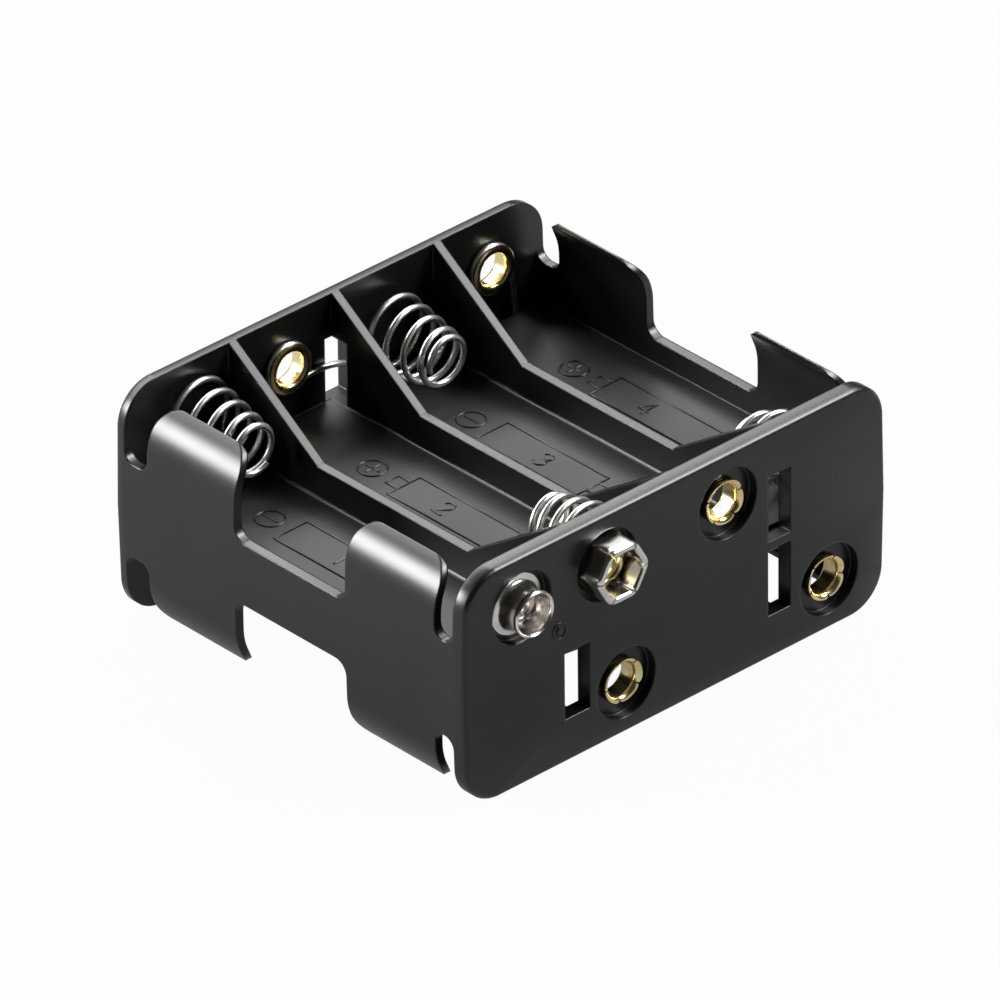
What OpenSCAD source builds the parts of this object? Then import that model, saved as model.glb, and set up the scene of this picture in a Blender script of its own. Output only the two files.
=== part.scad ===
// Holder for eight cylindrical cells, four above and four below one floor.
// X runs across the four cells, Y along them and Z up. The snaps face -Y.
// Modules work from the mid-plane of the floor, and in_place() sets the whole
// holder on its plates with the origin under the middle of its box.

/* [Cells] */
// Distance between the axes of neighbouring cells
cell_pitch = 15.5; // [15.2:0.1:19]
// Height of the cell axes above and below the mid-plane
cell_rise = 8.25; // [8:0.05:10]
// Radius of the trough inside the curled ears
cell_bay_r = 7.45; // [7.3:0.05:7.6]

/* [End plates] */
// Height of the end plates
plate_h = 29.5; // [29:0.1:36]
// Length over both end plates
body_l = 57; // [55:0.5:80]
// Thickness of the plate that carries the snaps
front_t = 2; // [1.8:0.1:3]
// Thickness of the plate at the other end
back_t = 1.5; // [1.3:0.1:3]
// Radius of the plate corners
corner_r = 5; // [2:0.25:6]
// Radius along the outer edges of the plates
edge_r = 0.7; // [0.3:0.05:1]
// Draft of the plates and side walls from the parting line, in degrees
draft = 1.4; // [0:0.1:2]

/* [Floor and ribs] */
// Thickness of the floor between the two layers
floor_t = 2; // [1.4:0.1:2.4]
// Thickness of the ribs between the cells
rib_t = 1.2; // [0.8:0.1:1.4]
// Height of the rib tops from the mid-plane
rib_top = 5; // [3.5:0.1:6]
// Length of the sloped gusset at each end of a rib
gusset_l = 14.4; // [8:0.1:18]
// Radius along the foot of the ribs
foot_r = 0.4; // [0.2:0.05:0.6]

/* [Side walls and ears] */
// Thickness of the side walls
wall_t = 1.3; // [1:0.05:1.5]
// Height of the low stretches of side wall from the mid-plane
wall_top = 4; // [3:0.1:4.5]
// Length of one ear
ear_l = 14.3; // [10:0.1:16]
// Slot between the ears and the front plate
ear_gap_front = 3; // [2.4:0.1:4]
// Slot between the ears and the back plate
ear_gap_back = 3.8; // [2.4:0.1:5]
// Height of the slot bottoms from the mid-plane
ear_slot_z = 6.1; // [5.5:0.1:7]
// Height of the ear tips from the mid-plane
ear_tip_z = 14; // [13:0.1:14.3]
// Reach of the ears over the outer cells, from the wall's outer face
ear_reach = 4.25; // [3:0.05:5]
// Radius of the bend in an ear
ear_bend_r = 2.8; // [1.5:0.1:3.5]
// Height at which an ear begins to bend
ear_bend_z = 9.2; // [8.6:0.05:10]
// Radius of the ear corners in side view
ear_corner_r = 3; // [1:0.25:5]

/* [Wire slots] */
// Width of the slots between cells 3 and 4 in the front plate
slot_right_w = 3.45; // [2:0.05:4]
// Distance of these slots' middle from that of the rib behind them
slot_right_off = 0.1; // [-0.3:0.1:0.3]
// Width of the slot between cells 1 and 2 in the front plate
slot_left_w = 3.8; // [2:0.05:4]
// Distance of this slot's middle from that of the rib behind it
slot_left_off = 0.4; // [0:0.1:0.5]
// Width of the window between cells 2 and 3 in the back plate
window_w = 3.3; // [2:0.05:4]
// Height of the slots from the mid-plane
slot_top = 9.1; // [8.5:0.1:10]
// Height of the sill between the upper and the lower slots in the front plate
sill_h = 1.1; // [0.8:0.1:2]
// Depth of the notches in the ribs and floor where the wires cross
notch_d = 2.4; // [1.6:0.1:4]

/* [Contacts] */
// Diameter of the spring wire
wire_d = 0.75; // [0.6:0.05:0.9]
// Outer diameter of a spring at the plate
spring_base_d = 10.6; // [8:0.1:11]
// Outer diameter of a spring at its tip
spring_tip_d = 6.1; // [5:0.1:7]
// Free length of a spring
spring_l = 10.8; // [8:0.1:13]
// Number of turns in a spring
spring_turns = 4.9; // [2.9:1:5.9]
// Bore of the hollow rivets
eyelet_bore = 4.1; // [3.5:0.1:4.5]
// Wall of the hollow rivets
eyelet_wall = 0.3; // [0.2:0.05:0.4]
// Diameter of the domed head that meets the cell
eyelet_head_d = 6.4; // [5.8:0.1:7]
// Height of the domed head
eyelet_head_h = 0.38; // [0.3:0.01:0.6]
// Diameter of the rolled end of a rivet
eyelet_roll_d = 5.8; // [5.4:0.1:6.4]
// Clearance between a rivet and its hole, on the radius
rivet_clear = 0.1; // [0.05:0.05:0.2]

/* [Snaps] */
// Distance between the snaps
snap_pitch = 12.7; // [12.4:0.05:13.3]
// Diameter of the lip of the stud
stud_lip_d = 5.7; // [5.4:0.05:6]
// Diameter of the waist of the stud
stud_waist_d = 4.7; // [4.4:0.05:5]
// Diameter of the foot of the stud
stud_foot_d = 7.6; // [7:0.1:8.4]
// Height of the stud over its foot
stud_h = 3.4; // [3:0.05:4]
// Width of the socket across its flats
socket_af = 7; // [6.6:0.05:7.4]
// Distance that the socket stands out of the plate
socket_proud = 2.85; // [2.3:0.05:3.2]
// Sheet thickness of the snaps
snap_sheet = 0.35; // [0.25:0.05:0.5]
// Diameter of the round recesses around rivets and snaps
recess_d = 8.9; // [8.8:0.05:9.6]
// Thickness that is left under the recesses in the front plate
seat_front_t = 0.8; // [0.6:0.05:1]
// Thickness that is left under the recesses in the back plate
seat_back_t = 0.6; // [0.5:0.05:0.9]

/* [Hidden] */
$fn = 48;
// Overshoot of cutting shapes, so that no faces coincide
over = 1;
// Running clearance between pieces that touch
clear = 0.05;
// Faces around the spring wire and points in one turn
wire_sides = 6;
turn_points = 16;

// The plates end at the outer faces of the side walls
plate_w = 3 * cell_pitch + 2 * (cell_bay_r + wall_t);
front_face = -body_l / 2;
back_face = body_l / 2;
front_in = front_face + front_t;
back_in = back_face - back_t;
half_w = plate_w / 2;
half_h = plate_h / 2;
// Centre of a plate's upper right corner, and where its arc meets the side
corner_z = half_h - corner_r;
corner_x = half_w - corner_r / cos(draft) - corner_z * tan(draft);
touch_x = corner_x + corner_r * cos(draft);
touch_z = corner_z + corner_r * sin(draft);
half_floor = floor_t / 2;
wall_in = half_w - wall_t;
back_ear_end = back_in - ear_gap_back;
front_ear_end = front_in + ear_gap_front;

eyelet_r = eyelet_bore / 2 + eyelet_wall;
hole_r = eyelet_r + rivet_clear;
roll_r = (eyelet_roll_d - eyelet_bore) / 4;
head_lift = wire_d + 2 * clear;
loop_r = eyelet_r + clear + wire_d / 2;
// Extra room under the socket's rivet, whose spring rises right beside it
socket_lift = 0.15;
base_r = (spring_base_d - wire_d) / 2;
tip_r = (spring_tip_d - wire_d) / 2;
// Offset of the wires that go down to the lower layer, from their cell's axis
link_x = (base_r + loop_r) / 2;

// The stud's rivet is slimmer, because its rolled end lies inside the stud
stud_bore_r = 1.2;
stud_roll_r = 0.3;
stud_hole_r = stud_bore_r + eyelet_wall + rivet_clear;

function cell_x(i) = (i - 2.5) * cell_pitch;
stud_x = cell_x(1);
socket_x = stud_x + snap_pitch;

brass = [0.85, 0.68, 0.3];
nickel = [0.75, 0.75, 0.77];

module in_place() {
    translate([0, socket_proud / 2, half_h]) children();
}

// Draws a profile in X and Z and gives it a length along Y
module along_y(y_from, y_to) {
    translate([0, y_to, 0]) rotate([90, 0, 0]) linear_extrude(y_to - y_from) children();
}

// Draws a profile in Y and Z and gives it a length along X
module along_x(x_from, x_to) {
    translate([x_from, 0, 0]) rotate([90, 0, 90]) linear_extrude(x_to - x_from) children();
}

// Copies a shape above and below the floor
module both_layers() {
    children();
    mirror([0, 0, 1]) children();
}

// Outline of an end plate, with drafted sides and round corners
module plate_outline() {
    union() {
        for (x = [-1, 1], z = [-1, 1]) {
            translate([x * corner_x, z * corner_z]) circle(corner_r);
        }
        polygon([
            [-half_w, 0], [-touch_x, touch_z], [-corner_x, half_h],
            [corner_x, half_h], [touch_x, touch_z], [half_w, 0],
            [touch_x, -touch_z], [corner_x, -half_h],
            [-corner_x, -half_h], [-touch_x, -touch_z]
        ]);
    }
}

// Section of what the rounding takes off an edge: the first axis points away
// from the middle of the plate and the second out of its face. The arc meets
// both faces at a slight angle, so that neither is only touched
module edge_off() {
    bite = clear / 2;
    translate([-edge_r, -edge_r]) difference() {
        square(edge_r + over);
        circle(edge_r + bite);
    }
}

// Rounds the edges of a plate whose outer face lies at Z = 0 and looks up. The
// cuts along the straight edges run on until the corner cuts take over
module edge_cuts() {
    take_over = 4;
    run_on = corner_r * sin(take_over) + clear;
    side_l = norm([half_w - touch_x, touch_z]);
    for (y = [0, 1]) mirror([0, y, 0]) {
        translate([-corner_x - run_on, half_h, 0]) rotate([90, 0, 90])
            linear_extrude(2 * (corner_x + run_on)) edge_off();
        for (x = [0, 1]) mirror([x, 0, 0]) {
            translate([corner_x, corner_z, 0]) rotate([0, 0, draft + take_over])
                rotate_extrude(angle = 90 - draft - 2 * take_over) translate([corner_r, 0]) edge_off();
            translate([half_w, 0, 0]) rotate([0, 0, draft])
                rotate([90, 0, 0]) mirror([0, 0, 1]) linear_extrude(side_l + run_on) edge_off();
        }
    }
}

// An end plate, rounded along its outer face, which lies at Z = 0 and looks up
module plate(thick) {
    difference() {
        translate([0, 0, -thick]) linear_extrude(thick) plate_outline();
        edge_cuts();
    }
}

module end_plates() {
    translate([0, front_face, 0]) rotate([90, 0, 0]) plate(front_t);
    translate([0, back_face, 0]) rotate([-90, 0, 0]) plate(back_t);
}

module floor_web() {
    translate([-half_w + wall_t / 2, front_in - clear, -half_floor])
        cube([plate_w - wall_t, back_in - front_in + 2 * clear, floor_t]);
}

// One rib on the upper side, with its foot and the gussets at both ends
module rib() {
    along_x(-rib_t / 2, rib_t / 2) polygon([
        [front_in - clear, 0], [front_in - clear, half_h],
        [front_in, half_h], [front_in + gusset_l, rib_top],
        [back_in - gusset_l, rib_top], [back_in, half_h],
        [back_in + clear, half_h], [back_in + clear, 0]
    ]);
    along_y(front_in - clear, back_in + clear) difference() {
        translate([-rib_t / 2 - foot_r, 0]) square([rib_t + 2 * foot_r, half_floor + foot_r]);
        for (x = [-1, 1]) {
            translate([x * (rib_t / 2 + foot_r), half_floor + foot_r]) circle(foot_r);
        }
    }
}

// Section of one side wall with its curled ear, upper half
module ear_section() {
    bend = [half_w - ear_bend_r / cos(draft) - ear_bend_z * tan(draft), ear_bend_z];
    tip = [half_w - ear_reach, ear_tip_z];
    // The sloped face runs from the tip to its touching point on the bend
    far = norm(tip - bend);
    lean = atan2(tip[1] - bend[1], tip[0] - bend[0]) - acos(ear_bend_r / far);
    touch = bend + ear_bend_r * [cos(lean), sin(lean)];
    start = bend + ear_bend_r * [cos(draft), sin(draft)];
    difference() {
        union() {
            translate(bend) circle(ear_bend_r);
            polygon([
                [wall_in - over, 0], [half_w, 0], start,
                bend, touch, tip, [tip[0], ear_bend_z], [wall_in - over, ear_bend_z]
            ]);
        }
        translate([cell_x(4), cell_rise]) circle(cell_bay_r);
        translate([0, -over]) square([wall_in, cell_rise + over]);
        translate([0, -over]) square([tip[0], plate_h]);
    }
}

// A rectangle whose two lower corners are round
module round_bottom(y_from, y_to, z_from, r) {
    translate([y_from, z_from + r]) square([y_to - y_from, plate_h]);
    translate([y_from + r, z_from]) square([y_to - y_from - 2 * r, plate_h]);
    for (y = [y_from + r, y_to - r]) translate([y, z_from + r]) circle(r);
}

// Takes the outer corner off an ear in side view
module ear_corner(y, side) {
    difference() {
        translate([side > 0 ? y - ear_corner_r : y - over, ear_tip_z - ear_corner_r])
            square([ear_corner_r + over, ear_corner_r + over]);
        translate([y - side * ear_corner_r, ear_tip_z - ear_corner_r]) circle(ear_corner_r);
    }
}

// One side wall in side view, upper half
module wall_side_view() {
    window_r = 1.75;
    slot_r = (ear_gap_front - 2 * clear) / 2;
    difference() {
        translate([front_in - clear, -over]) square([back_in - front_in + 2 * clear, half_h + over]);
        round_bottom(front_ear_end + ear_l, back_ear_end - ear_l, wall_top, window_r);
        round_bottom(front_in, front_ear_end, ear_slot_z, slot_r);
        round_bottom(back_ear_end, back_in, ear_slot_z, slot_r);
        ear_corner(front_ear_end, -1);
        ear_corner(front_ear_end + ear_l, 1);
        ear_corner(back_ear_end - ear_l, -1);
        ear_corner(back_ear_end, 1);
    }
}

module side_wall() {
    intersection() {
        along_y(front_in - over, back_in + over) ear_section();
        along_x(cell_x(4) - over, half_w + over) wall_side_view();
    }
}

// Recess and hole for one rivet, and room for its head in a rib beside it
module contact_hole(x, z, front, r) {
    face = front ? front_face : back_face;
    inner = front ? front_in : back_in;
    seat = front ? front_in - seat_front_t : back_in + seat_back_t;
    head_top = head_lift + socket_lift + eyelet_head_h + clear;
    head_far = front ? inner + head_top : inner - head_top;
    head_near = front ? inner + clear : inner - clear;
    along_y(min(face, inner) - over, max(face, inner) + over)
        translate([x, z]) circle(r);
    along_y(front ? face - over : seat, front ? seat : face + over)
        translate([x, z]) circle(recess_d / 2);
    along_y(min(head_near, head_far), max(head_near, head_far))
        translate([x, z]) circle(max(eyelet_head_d / 2, loop_r + wire_d / 2) + rivet_clear);
}

module contact_holes() {
    contact_hole(stud_x, cell_rise, true, stud_hole_r);
    contact_hole(socket_x, cell_rise, true, hole_r);
    contact_hole(cell_x(3), cell_rise, true, hole_r);
    contact_hole(cell_x(2), cell_rise, false, hole_r);
    contact_hole(cell_x(4), cell_rise, false, hole_r);
    contact_hole(cell_x(2), -cell_rise, true, hole_r);
    contact_hole(cell_x(4), -cell_rise, true, hole_r);
    contact_hole(cell_x(1), -cell_rise, false, hole_r);
    contact_hole(cell_x(3), -cell_rise, false, hole_r);
}

// A window through a plate beside a rib, with a notch in the rib's end that
// stops short of the floor
module wire_slot(x, w, sill, front) {
    notch_z = half_floor + clear;
    face = front ? front_face - over : back_face + over;
    inner = front ? front_in : back_in;
    notch = front ? front_in + notch_d : back_in - notch_d;
    translate([x - w / 2, min(face, inner), sill]) cube([w, abs(face - inner), slot_top - sill]);
    translate([x - w / 2, min(face, notch), notch_z]) cube([w, abs(face - notch), slot_top - notch_z]);
}

module wire_slots() {
    both_layers() {
        wire_slot(cell_x(3.5) + slot_right_off, slot_right_w, sill_h / 2, true);
        wire_slot(0, window_w, half_floor + clear, false);
    }
    mirror([0, 0, 1]) wire_slot(cell_x(1.5) + slot_left_off, slot_left_w, sill_h / 2, true);
}

// Notches in the floor's corners, where a wire goes down to the lower layer
module floor_notches() {
    notch_w = base_r - loop_r + 4 * wire_d;
    notch_y = wire_d + 2 * clear;
    for (x = [cell_x(4) + link_x, cell_x(1) + link_x]) {
        translate([x - notch_w / 2, back_in - notch_y, -floor_t]) cube([notch_w, notch_y, 2 * floor_t]);
    }
}

module holder() {
    color([0.09, 0.09, 0.1]) in_place() difference() {
        union() {
            end_plates();
            floor_web();
            both_layers() {
                for (i = [1.5, 2.5, 3.5]) translate([cell_x(i), 0, 0]) rib();
                side_wall();
                mirror([1, 0, 0]) side_wall();
            }
        }
        contact_holes();
        wire_slots();
        floor_notches();
    }
}

// Profile of a hollow rivet: the first axis is the radius, the second points
// from the plate's inner face towards the cell. lift is the room for the wire
// under the head, grip what the rivet holds and curl the radius of its roll
module eyelet_profile(bore_r, lift, grip, curl) {
    ring_half = (eyelet_head_d / 2 - bore_r) / 2;
    dome_r = (ring_half * ring_half + eyelet_head_h * eyelet_head_h) / (2 * eyelet_head_h);
    roll_z = -grip - clear - curl;
    translate([bore_r, roll_z]) square([eyelet_wall, lift + eyelet_head_h / 3 - roll_z]);
    intersection() {
        translate([bore_r + ring_half, lift + eyelet_head_h - dome_r]) circle(dome_r);
        translate([bore_r, lift]) square([2 * ring_half, eyelet_head_h + over]);
    }
    translate([bore_r + curl, roll_z]) circle(curl);
}

// A hollow rivet: domed head inside the bay, rolled and split end outside
module eyelet(bore_r, lift, grip, curl) {
    petals = 5;
    split_w = 0.25;
    split_l = 1.2 * curl;
    color(brass) difference() {
        rotate_extrude() eyelet_profile(bore_r, lift, grip, curl);
        for (i = [0:petals - 1]) {
            rotate([0, 0, 360 * i / petals])
                translate([0, -split_w / 2, -grip - clear - 2 * curl - over])
                cube([eyelet_roll_d, split_w, over + split_l]);
        }
    }
}

// Sets a piece drawn along +Z on the inner face of a plate
module on_plate(x, z, front) {
    if (front) translate([x, front_in, z]) rotate([-90, 0, 0]) children();
    else translate([x, back_in, z]) rotate([90, 0, 0]) children();
}

module plate_eyelet(i, z, front) {
    in_place() on_plate(cell_x(i), z, front)
        eyelet(eyelet_bore / 2, head_lift, front ? seat_front_t : seat_back_t, roll_r);
}

// The rivets of the snaps also hold the foot of the snap
module stud_rivet() {
    in_place() on_plate(stud_x, cell_rise, true)
        eyelet(stud_bore_r, clear, seat_front_t + snap_sheet, stud_roll_r);
}

module socket_rivet() {
    in_place() on_plate(socket_x, cell_rise, true)
        eyelet(eyelet_bore / 2, head_lift + socket_lift, seat_front_t + snap_sheet, roll_r);
}

// Sets a piece drawn along +Z in its recess in the front plate
module in_recess(x) {
    translate([x, front_in - seat_front_t, cell_rise]) rotate([90, 0, 0]) children();
}

// Half section of the stud: a drawn cup with a flat foot, a waist and a lip
module stud_profile() {
    lip_r = 0.3;
    lip_land = 0.4;
    lip_h = lip_land + 2 * lip_r;
    shoulder_r = 0.6;
    cup_r = stud_waist_d / 2 - snap_sheet;
    foot_r = stud_foot_d / 2;
    difference() {
        union() {
            square([stud_waist_d / 2, stud_h - lip_r]);
            translate([0, stud_h - lip_h]) square([stud_lip_d / 2 - lip_r, lip_h]);
            translate([0, stud_h - lip_h + lip_r]) square([stud_lip_d / 2, lip_land]);
            for (z = [lip_r, lip_r + lip_land]) {
                translate([stud_lip_d / 2 - lip_r, stud_h - lip_h + z]) circle(lip_r);
            }
            square([foot_r - snap_sheet / 2, snap_sheet]);
            translate([foot_r - snap_sheet / 2, snap_sheet / 2]) circle(snap_sheet / 2);
            difference() {
                square([stud_waist_d / 2 + shoulder_r, snap_sheet + shoulder_r]);
                translate([stud_waist_d / 2 + shoulder_r, snap_sheet + shoulder_r]) circle(shoulder_r);
            }
        }
        translate([0, snap_sheet]) square([cup_r, stud_h]);
        translate([0, -over]) square([stud_hole_r, stud_h]);
        polygon([
            [0, stud_h - lip_h], [cup_r, stud_h - lip_h],
            [stud_lip_d / 2 - lip_r, stud_h + clear], [0, stud_h + clear]
        ]);
    }
}

module snap_stud() {
    color(nickel) in_place() in_recess(stud_x) rotate_extrude() stud_profile();
}

// A hexagonal prism with flats above and below, by its width across the flats
module hexagon(af, z_from, z_to) {
    translate([0, 0, z_from]) cylinder(r = af / sqrt(3), h = z_to - z_from, $fn = 6);
}

// The socket: a hexagonal foot with six sprung leaves, slit at the corners
module snap_socket() {
    top = socket_proud + front_t - seat_front_t;
    lip_h = 0.6;
    lip_in = 0.3;
    slit_w = 0.3;
    slit_from = 1;
    color(nickel) in_place() in_recess(socket_x) difference() {
        hexagon(socket_af, 0, top);
        hexagon(socket_af - 2 * snap_sheet, snap_sheet, top - lip_h);
        hexagon(socket_af - 2 * snap_sheet - 2 * lip_in, top - lip_h - over, top + over);
        translate([0, 0, -over]) cylinder(r = hole_r, h = top);
        for (i = [0:5]) {
            rotate([0, 0, 60 * i]) translate([0, -slit_w / 2, slit_from]) cube([socket_af, slit_w, top]);
        }
    }
}

// Points of one spring, from its end under the neighbour's rivet head to its
// tip, drawn over the plate's inner face with the spring's axis at the origin
function arc_points(c, r, a_from, a_to, z, n) =
    [for (k = [0:n]) let (a = a_from + (a_to - a_from) * k / n) [c[0] + r * cos(a), c[1] + r * sin(a), z]];

function bezier(p, q, u, v, n) =
    [for (k = [1:n - 1]) let (t = k / n)
        pow(1 - t, 3) * p + 3 * pow(1 - t, 2) * t * u + 3 * (1 - t) * t * t * v + pow(t, 3) * q];

function coil_points(a_from, turns, z_from, z_to, lean) =
    let (n = round(turns * turn_points), closed = 1.1 * wire_d, open = (z_to - z_from - closed) / (turns - 1))
    [for (k = [0:n]) let (
        t = k / n,
        a = a_from + 360 * turns * t,
        r = base_r + (tip_r - base_r) * t,
        z = z_from + min(turns * t, turns - 1) * open + max(turns * t - turns + 1, 0) * closed
    ) [r * cos(a) + lean[0] * t, r * sin(a) + lean[1] * t, z]];

// leave is the angle at which the wire leaves the loop round the rivet, and
// enter the angle at which it runs into the coil; rise lifts the first turn,
// most of it once the wire is out from under the rivet's head
function spring_path(target, leave, enter, rise, lean) =
    let (
        z = wire_d / 2 + clear,
        loop = arc_points(target, loop_r, leave - 250, leave, z, 16),
        coil = coil_points(enter, spring_turns, z + rise, spring_l - wire_d / 2, lean),
        p = loop[len(loop) - 1],
        q = coil[0],
        reach = norm(q - p) / 3
    )
    concat(
        loop,
        bezier(
            p, q, p + reach * [-sin(leave), cos(leave), 0],
            q - [0, 0, rise * 2 / 3] - reach * [-sin(enter), cos(enter), 0], 5
        ),
        coil
    );

// Sweeps a round wire along points
module wire(points) {
    n = len(points);
    m = wire_sides;
    function unit(v) = v / norm(v);
    function heading(k) = unit(points[min(k + 1, n - 1)] - points[max(k - 1, 0)]);
    function ring(k) =
        let (
            t = heading(k),
            side = unit(cross([0, 0, 1], t)),
            up = cross(t, side)
        )
        [for (j = [0:m - 1]) points[k] + wire_d / 2 * (cos(360 * j / m) * side + sin(360 * j / m) * up)];
    polyhedron(
        points = [for (k = [0:n - 1]) each ring(k)],
        faces = concat(
            [[for (j = [m - 1:-1:0]) j]],
            [for (k = [0:n - 2], j = [0:m - 1]) each [
                [k * m + j, k * m + (j + 1) % m, (k + 1) * m + j],
                [k * m + (j + 1) % m, (k + 1) * m + (j + 1) % m, (k + 1) * m + j]
            ]],
            [[for (j = [0:m - 1]) (n - 1) * m + j]]
        )
    );
}

// A spring whose wire runs on to the rivet at target, seen from its tip. base
// moves its first turn off the cell's axis, and lean its tip off the first turn
module bent_spring(target, base, leave, enter, rise, lean) {
    translate(base) wire(spring_path(target - base, leave, enter, rise, lean));
}

// The same with the shortest link, which touches the loop and the first turn
module linked_spring(target, base, lean) {
    link = target - base;
    touch = atan2(link[1], link[0]) + acos((base_r - loop_r) / norm(link));
    bent_spring(target, base, touch, touch, 0, lean);
}

module plate_spring(i, z, front) {
    color(nickel) in_place() on_plate(cell_x(i), z, front) children();
}

// In the frame of on_plate, the mid-plane lies at -Y for upper cells on the
// back plate and at +Y for upper cells on the front plate. The springs aren't
// quite straight, and their first turns sit a little nearer to the floor
module spring_top_1() {
    plate_spring(1, cell_rise, false) linked_spring([0, -2 * cell_rise], [1.5, -0.6], [0.1, -0.2]);
}

// Its wire passes the window in the back plate
module spring_top_3() {
    plate_spring(3, cell_rise, false)
        bent_spring([-cell_pitch, 0], [-0.6, -1.4], 285, 225, 0, [0.2, 0.2]);
}

module spring_top_4() {
    plate_spring(4, cell_rise, true) mirror([0, 1, 0])
        bent_spring([-cell_pitch, 0], [0, -0.8], 290, 205, 0, [-0.5, -3]);
}

// The wire of this spring ends under the rivet of the socket, off its axis, and
// rises over the rivet's head
module spring_top_2() {
    rise = head_lift + socket_lift + eyelet_head_h;
    plate_spring(2, cell_rise, true)
        bent_spring([socket_x - cell_x(2), 0], [0.3, 1.3], -60, 75, rise, [-0.3, -0.75]);
}

// The wires of the lower layer run along the floor past the slots
module spring_low_front(i) {
    plate_spring(i, -cell_rise, true) mirror([0, 1, 0])
        bent_spring([cell_pitch, 0], [0, 1], 25, 95, 0, [0, 0]);
}

module spring_low_2() {
    plate_spring(2, -cell_rise, false) linked_spring([cell_pitch, 0], [0, 0.6], [0, 0]);
}

module spring_low_4() {
    plate_spring(4, -cell_rise, false) mirror([1, 0, 0]) linked_spring([0, 2 * cell_rise], [0, 0.6], [0, 0]);
}

holder();
spring_top_1();
spring_top_2();
spring_top_3();
spring_top_4();
spring_low_front(1);  // spring_low_1
spring_low_2();
spring_low_front(3);  // spring_low_3
spring_low_4();
plate_eyelet(2, cell_rise, false);  // eyelet_top_2
plate_eyelet(3, cell_rise, true);  // eyelet_top_3
plate_eyelet(4, cell_rise, false);  // eyelet_top_4
plate_eyelet(1, -cell_rise, false);  // eyelet_low_1
plate_eyelet(2, -cell_rise, true);  // eyelet_low_2
plate_eyelet(3, -cell_rise, false);  // eyelet_low_3
plate_eyelet(4, -cell_rise, true);  // eyelet_low_4
snap_stud();
stud_rivet();
snap_socket();
socket_rivet();
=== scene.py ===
import math

import bmesh
import bpy
import numpy as np
from mathutils import Matrix, Vector


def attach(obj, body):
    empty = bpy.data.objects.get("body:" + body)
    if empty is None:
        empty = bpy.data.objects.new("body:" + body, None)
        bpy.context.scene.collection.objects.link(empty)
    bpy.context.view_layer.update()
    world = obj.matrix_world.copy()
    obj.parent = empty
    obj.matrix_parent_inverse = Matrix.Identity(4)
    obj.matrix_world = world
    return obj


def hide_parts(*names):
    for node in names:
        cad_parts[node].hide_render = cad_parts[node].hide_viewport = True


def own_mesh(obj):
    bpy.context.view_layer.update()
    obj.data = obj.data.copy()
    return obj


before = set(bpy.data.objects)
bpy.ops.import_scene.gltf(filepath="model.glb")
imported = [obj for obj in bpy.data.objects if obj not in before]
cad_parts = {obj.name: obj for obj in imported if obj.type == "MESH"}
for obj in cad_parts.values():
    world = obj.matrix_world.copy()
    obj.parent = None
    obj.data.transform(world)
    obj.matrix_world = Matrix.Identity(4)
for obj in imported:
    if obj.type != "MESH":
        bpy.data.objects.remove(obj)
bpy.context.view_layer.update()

# The holder: one black moulding with a floor in the middle, ribs and gussets on
# both of its sides, two end plates, two side walls and eight curled ears. It is
# injection moulded in glossy ABS, in two halves of the tool that meet at mid-height.

# Sizes are in mm, from the middle between the end plates and from mid-height
MM = 0.001
middle_y, middle_z = 1.425, 14.75
floor_half, rib_top = 1.0, 5.0


class Reading:
    """One socket of a material, with the operators turned into Math nodes."""

    def __init__(self, tree, socket):
        self.tree, self.socket = tree, socket

    def maths(self, operation, *values):
        return add(self.tree, "ShaderNodeMath", {"operation": operation}, dict(enumerate(values)))

    def __add__(self, other):
        return self.maths("ADD", self, other)

    def __radd__(self, other):
        return self.maths("ADD", other, self)

    def __sub__(self, other):
        return self.maths("SUBTRACT", self, other)

    def __rsub__(self, other):
        return self.maths("SUBTRACT", other, self)

    def __mul__(self, other):
        return self.maths("MULTIPLY", self, other)

    def __rmul__(self, other):
        return self.maths("MULTIPLY", other, self)

    def __truediv__(self, other):
        return self.maths("DIVIDE", self, other)

    def __abs__(self):
        return self.maths("ABSOLUTE", self)

    def __lt__(self, other):
        return self.maths("LESS_THAN", self, other)

    def __gt__(self, other):
        return self.maths("GREATER_THAN", self, other)


def add(tree, kind, settings=None, values=None, out=0):
    """Adds one node: its settings first, then the values or links of its sockets."""
    node = tree.nodes.new(kind)
    for name, value in (settings or {}).items():
        if name == "stops":
            stops = node.color_ramp.elements
            while len(stops) < len(value):
                stops.new(1)
            for stop, (place, colour) in zip(stops, value):
                stop.position, stop.color = place, (*colour, 1)
        else:
            setattr(node, name, value)
    for name, value in (values or {}).items():
        if isinstance(value, Reading):
            tree.links.new(value.socket, node.inputs[name])
        else:
            node.inputs[name].default_value = value
    return Reading(tree, node.outputs[out])


def new_material(name):
    """A material whose tree holds nothing but its output."""
    made = bpy.data.materials.new(name)
    made.use_nodes = True
    tree = made.node_tree
    for node in list(tree.nodes):
        if node.type != "OUTPUT_MATERIAL":
            tree.nodes.remove(node)
    return made, tree


def surface(tree, values):
    """Ends a material in one shader with these values."""
    shader = add(tree, "ShaderNodeBsdfPrincipled", None, values)
    tree.links.new(shader.socket, tree.nodes["Material Output"].inputs["Surface"])


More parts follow.
